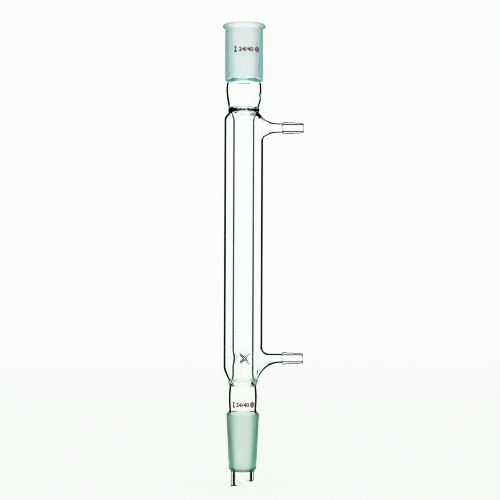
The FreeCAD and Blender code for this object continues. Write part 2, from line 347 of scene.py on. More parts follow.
def shown_mesh(piece: bpy.types.Object) -> bpy.types.Mesh:
    """A new mesh of what an object shows, with its modifiers applied."""
    bpy.context.view_layer.update()
    seen = piece.evaluated_get(bpy.context.evaluated_depsgraph_get())
    return bpy.data.meshes.new_from_object(seen)


def join_solids(
    target: bpy.types.Object, operation: str, tools: Iterable[bpy.types.Object]
) -> None:
    """Adds closed solids to another, or takes them away, and removes them.

    Args:
        target: The object that is changed.
        operation: UNION or DIFFERENCE.
        tools: The solids to add or take away.
    """
    for tool in tools:
        joining = target.modifiers.new(tool.name, "BOOLEAN")
        joining.operation = operation
        joining.solver = "EXACT"
        joining.object = tool
        mesh = shown_mesh(target)
        target.modifiers.clear()
        target.data = mesh
        bpy.data.objects.remove(tool)


def bell(share: float) -> float:
    """A smooth hump: one at the middle, nothing at a share of one and beyond."""
    return 0.5 + 0.5 * math.cos(math.pi * min(abs(share), 1.0))


@dataclass(frozen=True)
class Indents:
    """Places where the inner tube's wall is pressed in, spread round the tube.

    Each is a round hollow, and the first has two crossing creases that the pressing tool left.
    """

    height: float
    count: int = 3
    turn: float = -78.0  # degrees from +X to the first
    depth: float = 1.7
    half_height: float = 6.8
    half_width: float = 7.6
    crease_depth: float = 1.3
    crease_length: float = 8.5  # from its middle to its end
    crease_width: float = 1.5  # from its middle to its side
    crease_fullness: float = 1.7
    crease_edge: float = 0.02  # share of its depth at which a crease's fine mesh begins
    crease_shown: float = 0.3  # share of its depth from which a crease takes the indent finish, which paints it nearly black: painted shade
    crease_cuts: int = 2
    slants: tuple[float, float] = (40.0, -36.0)  # degrees from the level
    wall_reach: float = 0.4  # how far from a wall's radius its points may lie
    fine_half: float = 7.0  # half the height of the tube's finer mesh

    def refine(self, shape: bmesh.types.BMesh, wall: float) -> None:
        """Divides the faces that the creases cross.

        Args:
            shape: The bmesh that holds the wall.
            wall: The radius of that side of the wall.
        """
        edges = {}  # keeps its order, so every run gives the same mesh
        for face in shape.faces:
            place = face.calc_center_median()
            off_wall = abs(math.hypot(place.x, place.y) - wall)
            if off_wall < self.wall_reach and self.shows(place, wall, self.crease_edge):
                edges.update(dict.fromkeys(face.edges))
        bmesh.ops.subdivide_edges(
            shape, edges=list(edges), cuts=self.crease_cuts, use_grid_fill=True
        )

    def press(self, shape: bmesh.types.BMesh, wall: float) -> None:
        """Moves the points of one side of the tube's wall towards the axis.

        Args:
            shape: The bmesh that holds the wall.
            wall: The radius of that side of the wall.
        """
        for point in shape.verts:
            off_wall = abs(math.hypot(point.co.x, point.co.y) - wall)
            above = point.co.z - self.height
            if off_wall > self.wall_reach or abs(above) > self.half_height:
                continue
            angle = math.atan2(point.co.y, point.co.x)
            for number in range(self.count):
                middle = math.radians(self.turn) + TURN * number / self.count
                aside = math.remainder(angle - middle, TURN) * wall
                hollow = bell(math.hypot(aside / self.half_width, above / self.half_height))
                pressed = self.depth * hollow
                if not number:
                    pressed += self.crease_depth * self.crease(aside, above)
                point.co.x -= math.cos(angle) * pressed
                point.co.y -= math.sin(angle) * pressed

    def crease(self, aside: float, above: float) -> float:
        """How deep the deeper crease is at a point, as a share of its depth.

        Args:
            aside: The point's distance from the first dent's middle round the tube.
            above: Its height over the middle.

        Returns:
            One in the middle of the crease, nothing outside it.
        """
        deepest = 0.0
        for slant in self.slants:
            lean = math.radians(slant)
            along = aside * math.cos(lean) - above * math.sin(lean)
            across = aside * math.sin(lean) + above * math.cos(lean)
            length = min(1.0, self.crease_fullness * bell(along / self.crease_length))
            deepest = max(deepest, length * bell(across / self.crease_width))
        return deepest

    def shows(self, place: Vector, wall: float, least: float) -> bool:
        """True for a point of the tube's wall on a crease.

        Args:
            place: The point.
            wall: The radius of that side of the wall.
            least: Share of its depth that the crease has there at least.

        Returns:
            True where the crease is that deep.
        """
        turn = math.atan2(place.y, place.x) - math.radians(self.turn)
        aside = math.remainder(turn, TURN) * wall
        return self.crease(aside, place.z - self.height) > least


@dataclass(frozen=True)
class Ripple:
    """Unevenness left by the flame over a stretch of the axis."""

    height: float
    half_height: float
    amount: float
    grain: float  # mm, size of the lumps
    seed: float = 0.0
    side: float | None = None  # degrees round the axis, None for all round
    spread: float = 50.0

    def shake(self, shape: bmesh.types.BMesh) -> None:
        """Moves the points of a bmesh to and from the axis by smooth noise.

        Args:
            shape: The bmesh.
        """
        for point in shape.verts:
            strength = self.amount * bell((point.co.z - self.height) / self.half_height)
            if self.side is not None:
                turn = math.degrees(math.atan2(point.co.y, point.co.x)) - self.side
                strength *= bell(math.remainder(turn, 360) / self.spread)
            if strength <= 0:
                continue
            lump = noise.noise(point.co / self.grain + Vector((0, 0, self.seed)))
            outwards = Vector((point.co.x, point.co.y, 0)).normalized()
            point.co += outwards * lump * strength


@dataclass
class GlassBody:
    """The turned forms: joints, necks, jacket and inner tube, as radii and lengths."""

    places: Places
    segments: int = 112
    joint_wide: float = 12.0
    joint_small: float = 10.0
    joint_length: float = 40.0
    drip: float = 8.5
    drip_bore: float = 5.7
    drip_angle: float = 15.0
    lip: float = 0.4
    cone_bore: float = 9.5
    cone_bevel: float = 2.2
    lower_neck: float = 9.85
    lower_neck_bow: float = 0.45
    neck_wall: float = 1.25
    lower_ring: float = 10.45
    lower_ring_half: float = 1.65
    lower_foot: float = 10.8
    upper_ring: float = 11.05
    upper_ring_half: float = 1.95
    ring_swell: float = 0.3
    jacket: float = 14.25
    jacket_wall: float = 1.3
    lower_hose_rise: float = 17.3
    upper_hose_drop: float = 13.1
    lower_shoulder: float = 24.4
    upper_shoulder: float = 43.0
    inner: float = 7.8
    inner_wall: float = 1.1
    lower_funnel: float = 8.4
    lower_funnel_length: float = 4.5
    upper_funnel: float = 9.1
    upper_funnel_length: float = 4.4
    wedge_gap: float = 0.75
    wedge_tip: float = 1.0  # how far the water space runs up between the two walls
    upper_neck: float = 12.7
    upper_neck_bow: float = 0.9
    socket: float = 14.05
    clear_foot: float = 1.5  # how far up from its small end the socket isn't ground
    socket_foot: float = 1.0
    socket_slope: float = 1.8
    rim_height: float = 3.6
    rim_top: float = 14.6
    weld_side: float = 190.0  # degrees from +X to the thick side of the painted shade band at the upper seal's weld
    weld_thick: float = 1.7
    weld_thin: float = 0.75
    weld_spread: float = 1.35
    seal_drop: float = 0.5
    lower_bead: float = 2.8  # how far the lower seal's weld finish, faint green glass with painted shade on its slanted bands, runs up on the hose side
    lower_fillet: float = 3.2  # and how far it runs down there
    hose_skin: float = 3.0  # radius within which a hose end's surface is its bore
    cone_edge: float = 0.3  # height up to which the glass counts as the cone
    neck_edge: float = 0.4  # how far under the socket's slope its finishes begin
    hose_root: float = 4.0  # how far from the jacket a hose end's finishes begin
    seal_skin: float = 1.0  # depth of the lower seal's weld finish, faint green glass with painted shade, over the seal
    seam: float = 0.2  # how far a finish runs on past a corner or an edge
    skin: float = 0.4  # how far from a drawn surface its points may lie
    ground_skin: float = 0.15  # the same for the cone's ground surface
    foot_height: float = 1.0  # how far up the cone its rounded foot reaches
    foot_drop: float = 1.7  # and how far down
    fine_reach: float = 13.0  # how far from a hose connection the jacket's steps are short
    fine_step: float = 0.8
    indent_rise: float = 0.1  # of the dents' middle over the lower hose connection
    neck_fillet: float = 1.1  # between the lower neck and its seal
    cone_fillet: float = 1.6  # between the cone and the drip tube
    indents: Indents = field(init=False)

    def __post_init__(self) -> None:
        """Works out the heights that follow from the places."""
        self.lower_seal = self.places.lower_hose - self.lower_hose_rise
        self.upper_seal = self.places.upper_hose + self.upper_hose_drop
        self.socket_end = self.places.mouth - self.joint_length
        self.neck_high = self.socket_end - self.socket_foot - self.socket_slope
        low_slope = math.tan(math.radians(self.lower_shoulder))
        high_slope = math.tan(math.radians(self.upper_shoulder))
        self.lower_corner = (
            self.lower_seal + self.lower_ring_half + (self.jacket - self.lower_foot) / low_slope
        )
        self.upper_corner = (
            self.upper_seal - self.upper_ring_half - (self.jacket - self.upper_ring) / high_slope
        )
        self.bore = self.jacket - self.jacket_wall
        low_lean = self.jacket_wall / math.cos(math.radians(self.lower_shoulder))
        high_lean = self.jacket_wall / math.cos(math.radians(self.upper_shoulder))
        low_rim = self.lower_funnel + self.wedge_gap
        high_rim = self.upper_funnel + self.wedge_gap
        self.lower_wedge = self.lower_corner - (self.jacket - low_lean - low_rim) / low_slope
        self.upper_wedge = self.upper_corner + (self.jacket - high_lean - high_rim) / high_slope
        self.lower_bore_corner = self.lower_corner + (low_lean - self.jacket_wall) / low_slope
        self.upper_bore_corner = self.upper_corner - (high_lean - self.jacket_wall) / high_slope
        self.indents = Indents(self.places.lower_hose + self.indent_rise)

    @property
    def tube_bore(self) -> float:
        """Radius of the inner tube's bore."""
        return self.inner - self.inner_wall

    @property
    def slope(self) -> float:
        """How much a ground taper's radius grows per height."""
        return (self.joint_wide - self.joint_small) / self.joint_length

    def outside_and_bore(self) -> list[Corner]:
        """Corners from the drip tip up the outside to the mouth, and down the vapour's way."""
        low_ring, high_ring = self.lower_ring_half, self.upper_ring_half
        neck_top = self.lower_seal - low_ring - self.neck_fillet
        neck_high = self.neck_high
        mouth = self.places.mouth
        bead = mouth - self.rim_height
        fine, half = self.indents.height, self.indents.fine_half
        return [
            Corner(self.drip, self.places.tip),
            Corner(self.drip, -self.joint_length - self.cone_fillet, 0.8),
            Corner(self.joint_small, -self.joint_length, 0.5),
            Corner(self.joint_wide, 0, 0.6),
            Corner(self.lower_neck, self.cone_bevel, 0.9),
            Corner(self.lower_neck, neck_top, 0.7, bow=self.lower_neck_bow, step=1.5),
            Corner(self.lower_ring, self.lower_seal - low_ring, 0.4),
            Corner(self.lower_foot, self.lower_seal + low_ring, 0.4, bow=self.ring_swell, step=0.5),
            Corner(self.jacket, self.lower_corner, 2.2),
            Corner(self.jacket, self.places.lower_hose + self.fine_reach, step=self.fine_step),
            Corner(self.jacket, self.places.upper_hose - self.fine_reach),
            Corner(self.jacket, self.upper_corner, 2.0, step=self.fine_step),
            Corner(self.upper_ring, self.upper_seal - high_ring, 0.4),
            Corner(
                self.upper_ring, self.upper_seal + high_ring, 0.4, bow=self.ring_swell, step=0.5
            ),
            Corner(self.upper_neck, neck_high, 0.8, bow=self.upper_neck_bow, step=1.5),
            Corner(self.socket, self.socket_end - self.socket_foot, 0.9),
            Corner(self.socket, bead, 0.5),
            Corner(self.places.rim, bead + self.rim_height * 0.3, 0.9),
            Corner(self.places.rim, bead + self.rim_height * 0.7, 0.9),
            Corner(self.rim_top, mouth, 0.6),
            Corner(self.joint_wide + 0.4, mouth, 0.5),
            Corner(self.joint_wide - 0.04, mouth - 0.8, 0.4),
            Corner(self.joint_small, self.socket_end, 0.3),
            Corner(self.upper_neck - self.neck_wall, neck_high, 0.6),
            Corner(
                self.upper_ring - self.neck_wall,
                self.upper_seal + high_ring,
                0.8,
                bow=-self.upper_neck_bow,
                step=1.5,
            ),
            Corner(self.upper_funnel - self.inner_wall, self.upper_wedge, 0.8, step=1.0),
            Corner(self.tube_bore, self.upper_wedge - self.upper_funnel_length, 1.5),
            Corner(self.tube_bore, fine + half),
            Corner(self.tube_bore, fine - half, step=0.5),
            Corner(self.tube_bore, self.lower_wedge + self.lower_funnel_length, 1.5),
            Corner(self.lower_funnel - self.inner_wall, self.lower_seal, 0.8, step=1.0),
            Corner(self.lower_neck - self.neck_wall, neck_top, 0.8),
            Corner(
                self.lower_neck - self.neck_wall,
                self.cone_bevel,
                0.8,
                bow=-self.lower_neck_bow,
                step=1.5,
            ),
            Corner(self.cone_bore, 0, 0.8),
            Corner(self.drip_bore, -self.joint_length, 1.2),
            Corner(self.drip_bore, self.places.tip),
        ]

    def cooling_space(self) -> list[Corner]:
        """Corners of the water space: up the jacket's bore and down the inner tube's outside."""
        fine, half = self.indents.height, self.indents.fine_half
        return [
            Corner(self.lower_funnel, self.lower_wedge, 0.2),
            Corner(self.lower_funnel + 0.3, self.lower_wedge - self.wedge_tip, 0.1),
            Corner(self.lower_funnel + self.wedge_gap, self.lower_wedge, 0.2),
            Corner(self.bore, self.lower_bore_corner, 2.0),
            Corner(self.bore, self.places.lower_hose + self.fine_reach, step=self.fine_step),
            Corner(self.bore, self.places.upper_hose - self.fine_reach),
            Corner(self.bore, self.upper_bore_corner, 1.6, step=self.fine_step),
            Corner(self.upper_funnel + self.wedge_gap, self.upper_wedge, 0.2),
            Corner(self.upper_funnel + 0.3, self.upper_wedge + self.wedge_tip, 0.1),
            Corner(self.upper_funnel, self.upper_wedge, 0.2),
            Corner(self.inner, self.upper_wedge - self.upper_funnel_length, 1.5, step=1.0),
            Corner(self.inner, fine + half),
            Corner(self.inner, fine - half, step=0.5),
            Corner(self.inner, self.lower_wedge + self.lower_funnel_length, 1.5),
        ]

    def cut_tip(self, shape: bmesh.types.BMesh) -> None:
        """Cuts the drip tip at a slant, highest under the hose connections, and rounds its lips.

        Args:
            shape: The bmesh of the outside and the bore.
        """
        angle = math.radians(self.drip_angle)
        away = Vector((math.sin(angle), 0, -math.cos(angle)))
        lowest = Vector((-self.drip, 0, self.places.tip))
        cut = bmesh.ops.bisect_plane(
            shape, geom=everything(shape), plane_co=lowest, plane_no=away, clear_outer=True
        )
        lips = only(bmesh.types.BMEdge, cut["geom_cut"])
        bmesh.ops.bridge_loops(shape, edges=lips)
        bmesh.ops.bevel(
            shape, geom=lips, offset=self.lip, affect="EDGES", segments=3, profile=0.5, material=-1
        )
        bmesh.ops.recalc_face_normals(shape, faces=shape.faces)

    def ripples(self) -> list[Ripple]:
        """Unevenness of the two ring seals and of the blown necks."""
        return [
            Ripple(self.upper_seal, 5.0, 0.34, 3.1, seed=2.0),
            Ripple(self.lower_seal, 4.0, 0.26, 2.7, seed=5.0),
            Ripple(self.upper_seal + 12, 13.0, 0.16, 9.0, seed=7.0),
            Ripple(self.lower_seal - 11, 11.0, 0.12, 7.0, seed=9.0),
            Ripple(self.upper_seal + 8, 6.0, 0.5, 2.0, seed=4.0, side=0.0),
            Ripple(self.upper_seal + 3, 3.0, 0.4, 1.8, seed=3.0, side=180.0, spread=35.0),
        ]

    def turned(self, name: str, corners: Sequence[Corner], wall: float) -> bpy.types.Object:
        """Turns a section and works its dents and its unevenness in.

        Args:
            name: The object's name.
            corners: The section.
            wall: Radius of the inner tube's wall on this side.

        Returns:
            The solid.
        """
        shape = spun(corners, self.segments)
        self.indents.refine(shape, wall)
        self.indents.press(shape, wall)
        for ripple in self.ripples():
            ripple.shake(shape)
        if wall < self.inner:
            self.cut_tip(shape)
        return as_object(name, shape)

    def solid(self) -> bpy.types.Object:
        """The turned glass with its bore, and no cooling space yet."""
        return self.turned("turned_glass", self.outside_and_bore(), self.tube_bore)

    def water(self) -> bpy.types.Object:
        """The space between jacket and inner tube, as a solid."""
        return self.turned("water_space", self.cooling_space(), self.inner)

    def finish_at(self, place: Vector) -> Finish:
        """The finish of the surface at a point of the glass.

        Args:
            place: The point.

        Returns:
            The finish.
        """
        radius = math.hypot(place.x, place.y)
        if place.z < self.cone_edge:
            return self.finish_on_cone(place.z, radius)
        if place.z > self.neck_high - self.neck_edge:
            return self.finish_on_socket(place.z, radius)
        if place.x > self.jacket + self.hose_root:
            upper = abs(place.z - self.places.upper_hose)
            lower = abs(place.z - self.places.lower_hose)
            outside = math.hypot(place.y, min(upper, lower)) > self.hose_skin
            return Finish.HOSE_END if outside else Finish.CLEAR
        # A band round the upper seal that is painted nearly black: painted shade.
        if abs(place.z - self.upper_seal + self.seal_drop) < self.seal_band(place):
            return Finish.PAINTED_SHADE_WELD
        if abs(place.z - self.upper_seal) < self.upper_ring_half:
            return Finish.PALE_WELD
        above = place.z - self.lower_seal
        bead = 0 < above < self.lower_bead and radius > self.lower_ring - self.seal_skin
        fillet = -self.lower_fillet < above < 0
        hose_side = place.x > 0 and (bead or fillet)
        if hose_side or abs(above) < self.lower_ring_half + self.seam:
            return Finish.PALE_WELD
        within = self.lower_seal < place.z < self.upper_seal
        if within and radius < self.upper_funnel + self.cone_edge:
            # A crease takes the indent finish, which paints it nearly black: painted shade.
            creased = self.indents.shows(place, self.inner, self.indents.crease_shown)
            return Finish.INDENT if creased else Finish.INNER_TUBE
        return Finish.CLEAR

    def seal_band(self, place: Vector) -> float:
        """Half the height of the band of painted shade at the upper seal's weld, thick on one side
        and thin elsewhere.

        Args:
            place: A point of the seal.

        Returns:
            Half the weld's height there.
        """
        turn = math.remainder(math.atan2(place.y, place.x) - math.radians(self.weld_side), TURN)
        return self.weld_thin + (self.weld_thick - self.weld_thin) * bell(turn / self.weld_spread)

    def finish_on_cone(self, height: float, radius: float) -> Finish:
        """The finish of the lower taper and of the drip tube under it.

        Args:
            height: Height of the point.
            radius: Its distance from the axis.

        Returns:
            The finish.
        """
        above = height + self.joint_length
        foot = -self.foot_drop <= above < self.foot_height
        if foot and radius > self.drip - self.seam:
            return Finish.CONE_FOOT
        if above < 0:
            return Finish.DRIP_TUBE
        ground = abs(radius - self.joint_wide - self.slope * height) < self.ground_skin
        return Finish.CONE_GROUND if ground else Finish.CONE_BORE

    def finish_on_socket(self, height: float, radius: float) -> Finish:
        """The finish of the socket.

        Args:
            height: Height of the point.
            radius: Its distance from the axis.

        Returns:
            The finish.
        """
        bore = self.joint_small + self.slope * (height - self.socket_end)
        inner = radius < self.joint_wide + self.skin and abs(radius - bore) < self.skin
        if inner and height > self.socket_end + self.clear_foot:
            return Finish.SOCKET_GROUND
        wall = self.socket_end + self.seam < height < self.places.mouth - self.rim_height
        return Finish.SOCKET_WALL if wall else Finish.RIM


@dataclass(frozen=True)
class Flare:
    """One side of a trumpet: an arc that widens from the tube and runs on straight."""

    start: float  # where it leaves the tube, from the main axis
    radius: float
    steepest: float = 55.0  # degrees

    def reach(self, station: float, inset: float) -> float:
        """How much wider than the tube the trumpet is.

        Args:
            station: Distance from the main axis.
            inset: How far the surface lies inside the glass, 0 on the outside.

        Returns:
            The widening, less than nothing where the surface lies inside the tube's.
        """
        lean = math.radians(self.steepest)
        radius = self.radius + inset
        back = max(0.0, self.start - station)
        bent = min(back, radius * math.sin(lean))
        arc = self.radius - math.sqrt(radius**2 - bent**2)
        return arc + (back - bent) * math.tan(lean)


@dataclass
class HoseConnection:
    """A serrated hose end with the trumpet that joins it to the jacket."""

    name: str
    height: float
    reach: float
    above: Flare
    below: Flare
    aside: Flare
    deepest: float = 10.2  # where the trumpet ends inside the jacket, from the main axis
    station_step: float = 0.75
    tube: float = 3.4
    wall: float = 0.8
    end_bore: float = 2.25
    end_lip: float = 0.45  # how far the bore widens at the open end
    narrowing: float = 1.5  # length over which the bore narrows to the end's
    serrated_length: float = 15.7
    first_ridge: float = 4.6
    last_ridge: float = 4.05
    ridge_count: int = 3
    ridge_height: float = 0.55
    ridge_rise: float = 0.8
    shoulder: float = 0.7
    segments: int = 64
    crease_angle: float = 9.0  # degrees, flatter edges are no crease
    crease_reach: float = 3.4
    crease_weld: float = 0.12
    crease_rounds: int = 24

    @property
    def tube_start(self) -> float:
        """Where the serrated end begins, from the main axis."""
        return self.reach - self.serrated_length

    def trumpet(self, inset: float) -> list[Ring]:
        """Rings from inside the jacket out to the serrated end.

        Args:
            inset: How far the surface lies inside the glass, 0 on the outside.

        Returns:
            The rings.
        """
        steps = math.ceil((self.tube_start - self.deepest) / self.station_step)
        rings = []
        for step in range(steps + 1):
            station = self.deepest + (self.tube_start - self.deepest) * step / steps
            up, down, side = (
                self.tube + flare.reach(station, inset)
                for flare in (self.above, self.below, self.aside)
            )
            rings.append(Ring(station, self.height + (up - down) / 2, side, (up + down) / 2))
        return rings

    def serrations(self) -> list[Corner]:
        """Corners of the plain tube and the serrated end, along the connection's axis."""
        start = self.tube_start
        first = start + self.shoulder
        pitch = (self.serrated_length - self.shoulder) / self.ridge_count
        loss = (self.first_ridge - self.last_ridge) / (self.ridge_count - 1)
        corners = [
            Corner(self.tube, start - self.station_step),
            Corner(self.tube, start + self.shoulder / 4, 0.15),
            Corner(self.first_ridge - self.ridge_height, first, 0.2),
        ]
        for ridge in range(self.ridge_count):
            peak = self.first_ridge - loss * ridge
            foot = first + pitch * ridge
            corners.append(Corner(peak, foot + self.ridge_rise, 0.25))
            corners.append(Corner(peak - self.ridge_height, foot + pitch, 0.2))
        valley = corners.pop()
        corners.append(Corner(valley.across, self.reach, 0.55))
        corners.append(Corner((self.last_ridge + self.end_bore) / 2, self.reach))
        return corners

    def bore(self) -> list[Corner]:
        """Corners of the bore, which runs on past the open end."""
        lip = self.end_bore + self.end_lip
        return [
            Corner(self.tube - self.wall, self.tube_start - self.station_step),
            Corner(self.tube - self.wall, self.tube_start, 0.6),
            Corner(self.end_bore, self.tube_start + self.narrowing, 0.6),
            Corner(self.end_bore, self.reach - 0.5, 0.4),
            Corner(lip, self.reach + 0.05, 0.1),
            Corner(lip, self.reach + 2),
        ]

    def is_near(self, place: Vector) -> bool:
        """True for a point of the jacket or the trumpet where the two meet."""
        low = self.height - self.tube - self.below.reach(self.deepest + 2, 0)
        high = self.height + self.tube + self.above.reach(self.deepest + 2, 0)
        inside = math.hypot(place.x, place.y) < self.deepest or place.x < self.deepest / 2
        return not inside and place.x < self.tube_start - 2 and low < place.z < high

    def soften(self, shape: bmesh.types.BMesh) -> None:
        """Smooths the crease where the trumpet meets the jacket's wall.

        Args:
            shape: The bmesh of the joined glass or of the joined water space.
        """
        near = [point for point in shape.verts if self.is_near(point.co)]
        bmesh.ops.remove_doubles(shape, verts=near, dist=self.crease_weld)
        near = [point for point in near if point.is_valid]
        sharp = math.radians(self.crease_angle)
        creased = {
            point
            for edge in shape.edges
            if edge.is_manifold and edge.calc_face_angle(0) > sharp
            for point in edge.verts
            if self.is_near(point.co)
        }
        tree = kdtree.KDTree(len(creased))
        for number, point in enumerate(creased):
            tree.insert(point.co, number)
        tree.balance()
        soft = [point for point in near if creased and tree.find(point.co)[2] < self.crease_reach]
        log.info("%s: crease of %d points, %d smoothed", self.name, len(creased), len(soft))
        for _ in range(self.crease_rounds):
            bmesh.ops.smooth_vert(
                shape, verts=soft, factor=0.5, use_axis_x=True, use_axis_y=True, use_axis_z=True
            )

    def drawn_out(
        self, name: str, corners: Sequence[Corner], rings: list[Ring]
    ) -> bpy.types.Object:
        """Runs a trumpet's rings on through a turned end.

        Args:
            name: What the solid is, after the connection's own name.
            corners: Section of the turned end.
            rings: The trumpet's rings.

        Returns:
            The solid.
        """
        turned = [Ring(p.y, self.height, p.x, p.x) for p in drawn(corners, closed=False)]
        return as_object(f"{self.name}_{name}", trunk(rings + turned[1:], self.segments))

    def solid(self) -> bpy.types.Object:
        """The connection's outside as a solid."""
        return self.drawn_out("outside", self.serrations(), self.trumpet(0))

    def hollow(self) -> bpy.types.Object:
        """The connection's inside as a solid."""
        return self.drawn_out("inside", self.bore(), self.trumpet(self.wall)[:-1])


class Wire:
    """A node's output, on which arithmetic adds Math nodes."""

    def __init__(self, tree: "ShaderTree", socket: bpy.types.NodeSocket) -> None:
        """Wraps a socket of a tree."""
        self.tree = tree
        self.socket = socket

    def math(self, operation: str, *values: "Wire | float") -> "Wire":
        """Adds a Math node.

        Args:
            operation: The node's operation.
            values: Its inputs in order.

        Returns:
            The node's output.
        """
        inputs = dict(enumerate(values))
        return self.tree.node("ShaderNodeMath", {"operation": operation}, inputs)["Value"]

    def __add__(self, other: "Wire | float") -> "Wire":
        """Sum."""
        return self.math("ADD", self, other)

    __radd__ = __add__

    def __sub__(self, other: "Wire | float") -> "Wire":
        """Difference."""
        return self.math("SUBTRACT", self, other)

    def __rsub__(self, other: "Wire | float") -> "Wire":
        """Difference, with this output taken away."""
        return self.math("SUBTRACT", other, self)

    def __mul__(self, other: "Wire | float") -> "Wire":
        """Product."""
        return self.math("MULTIPLY", self, other)

    __rmul__ = __mul__

    def either(self, other: "Wire | float") -> "Wire":
        """The larger of two values."""
        return self.math("MAXIMUM", self, other)

    def band(self, low: float, high: float) -> "Wire":
        """Rises smoothly from nothing at the low value to one at the high value."""
        settings = {"interpolation_type": "SMOOTHSTEP"}
        inputs = {"Value": self, "From Min": low, "From Max": high}
        return self.tree.node("ShaderNodeMapRange", settings, inputs)["Result"]


class ShaderTree:
    """A node tree that is built through one method."""

    def __init__(self, owner: bpy.types.Material | bpy.types.World) -> None:
        """Empties the owner's node tree."""
        owner.use_nodes = True
        self.tree = owner.node_tree
        self.tree.nodes.clear()

    def node(
        self,
        kind: str,
        settings: dict[str, object] | None = None,
        inputs: dict[str | int, object] | None = None,
    ) -> dict[str, Wire]:
        """Adds a node.

        Args:
            kind: The node's type.
            settings: Its properties, set first.
            inputs: Values or wires by socket name or number.

        Returns:
            Its outputs by name.
        """
        node = self.tree.nodes.new(kind)
        for name, value in (settings or {}).items():
            setattr(node, name, value)
        for name, value in (inputs or {}).items():
            if isinstance(value, Wire):
                self.tree.links.new(value.socket, node.inputs[name])
            else:
                node.inputs[name].default_value = value
        return {socket.name: Wire(self, socket) for socket in node.outputs if socket.enabled}

    def shader(self, kind: str, inputs: dict[str | int, object] | None = None) -> Wire:
        """Adds a shader node.

        Args:
            kind: The node's type after ShaderNode.
            inputs: Values or wires by socket name or number.

        Returns:
            Its only output.
        """
        (output,) = self.node(f"ShaderNode{kind}", inputs=inputs).values()
        return output

    def blend(self, share: Wire, first: Wire, second: Wire) -> Wire:
        """Mixes two shaders: the first at a share of nothing, the second at one."""
        return self.shader("MixShader", {0: share, 1: first, 2: second})

    def place(self, stretch: tuple[float, float, float] | None = None) -> Wire:
        """Object coordinates, stretched along the axes where a stretch is given."""
        place = self.node("ShaderNodeTexCoord")["Object"]
        if stretch is None:
            return place
        return self.node("ShaderNodeMapping", inputs={"Vector": place, "Scale": stretch})["Vector"]

    def lumps(self, place: Wire, scale: float = 1.0) -> Wire:
        """Smooth noise at a place, finer with a larger scale."""
        return self.node("ShaderNodeTexNoise", inputs={"Vector": place, "Scale": scale})["Fac"]

    def relief(self, height: Wire, strength: float, distance: float) -> Wire:
        """The surface's direction with a height worked in."""
        inputs = {"Height": height, "Strength": strength, "Distance": distance}
        return self.node("ShaderNodeBump", inputs=inputs)["Normal"]

    def facing(self) -> Wire:
        """Nothing where the surface faces the eye, and one where it is seen edge-on."""
        return self.node("ShaderNodeLayerWeight", inputs={"Blend": 0.5})["Facing"]

    def ray_is(self, *kinds: str) -> Wire:
        """One where the ray is of one of the kinds, such as Camera."""
        path = self.node("ShaderNodeLightPath")
        return reduce(Wire.either, [path[f"Is {kind} Ray"] for kind in kinds])

    def seen_ray(self) -> Wire:
        """One for the eye's own rays and those that gloss and glass pass on."""
        return self.ray_is("Camera", "Glossy", "Transmission")


def new_material(name: str) -> tuple[bpy.types.Material, ShaderTree]:
    """A new material and its empty node tree."""
    made = bpy.data.materials.new(name)
    return made, ShaderTree(made)


Colour = tuple[float, float, float]


def opaque(colour: Colour) -> tuple[float, float, float, float]:
    """A colour with full alpha, as a socket takes it."""
    return (*colour, 1.0)


@dataclass(frozen=True)
class ClearGlass:
    """Fire-polished glass with dark lines painted where its walls are seen edge-on: painted shade.

    Sight through a wall is turned aside where it meets the far side of the wall at a slant. That
    band of slants is painted dark, painted shade as against a white card with a dim room round it.
    """

    ior: float = 1.47
    tint: Colour = (0.998, 1.0, 0.999)
    # painted shade: the colour of the bands where a wall is seen at a slant
    dark: Colour = (0.004, 0.011, 0.01)
    shade: Colour = (0.955, 0.965, 0.96)  # what the glass lets through to the floor
    outer_edge: tuple[float, float] = (1.0, 1.1)  # off: no slant reaches it
    inner_line: tuple[float, float, float, float] = (0.258, 0.265, 0.5, 0.6)
    streak: float = 0.12
    streaks: tuple[float, float, float] = (160.0, 160.0, 9.0)  # their fineness along the axes
    streak_height: float = 0.00025
    blotch: float = 0.0  # how far an uneven wall moves the outer edge's band
    blotch_fineness: float = 330.0

    def material(self, name: str) -> bpy.types.Material:
        """Builds the material under a name."""
        made, tree = new_material(name)
        streaks = tree.lumps(tree.place(self.streaks))
        relief = tree.relief(streaks, self.streak, self.streak_height)
        facing = tree.facing()
        inside = tree.node("ShaderNodeNewGeometry")["Backfacing"]
        outer = facing
        if self.blotch:
            outer = facing + (tree.lumps(tree.place(), self.blotch_fineness) - 0.5) * self.blotch
        low, rise, fall, high = self.inner_line
        outer = outer.band(*self.outer_edge) * (1 - inside)
        line = (facing.band(low, rise) - facing.band(fall, high)) * inside
        smooth = {"Roughness": 0.0, "IOR": self.ior}
        coat = {**smooth, "Color": opaque(self.tint), "Normal": relief}
        entering = tree.shader("BsdfRefraction", coat)
        within = tree.shader("BsdfGlass", coat)
        # The dark colour, mixed in on the slanted bands: painted shade.
        dim = tree.shader("BsdfGlass", {**smooth, "Color": opaque(self.dark)})
        glass = tree.blend(inside, entering, within)
        seen = tree.blend(outer.either(line), glass, dim)
        passing = tree.shader("BsdfTransparent", {"Color": opaque(self.shade)})
        surface = tree.blend(tree.ray_is("Shadow", "Diffuse"), seen, passing)
        tree.node("ShaderNodeOutputMaterial", inputs={"Surface": surface})
        return made


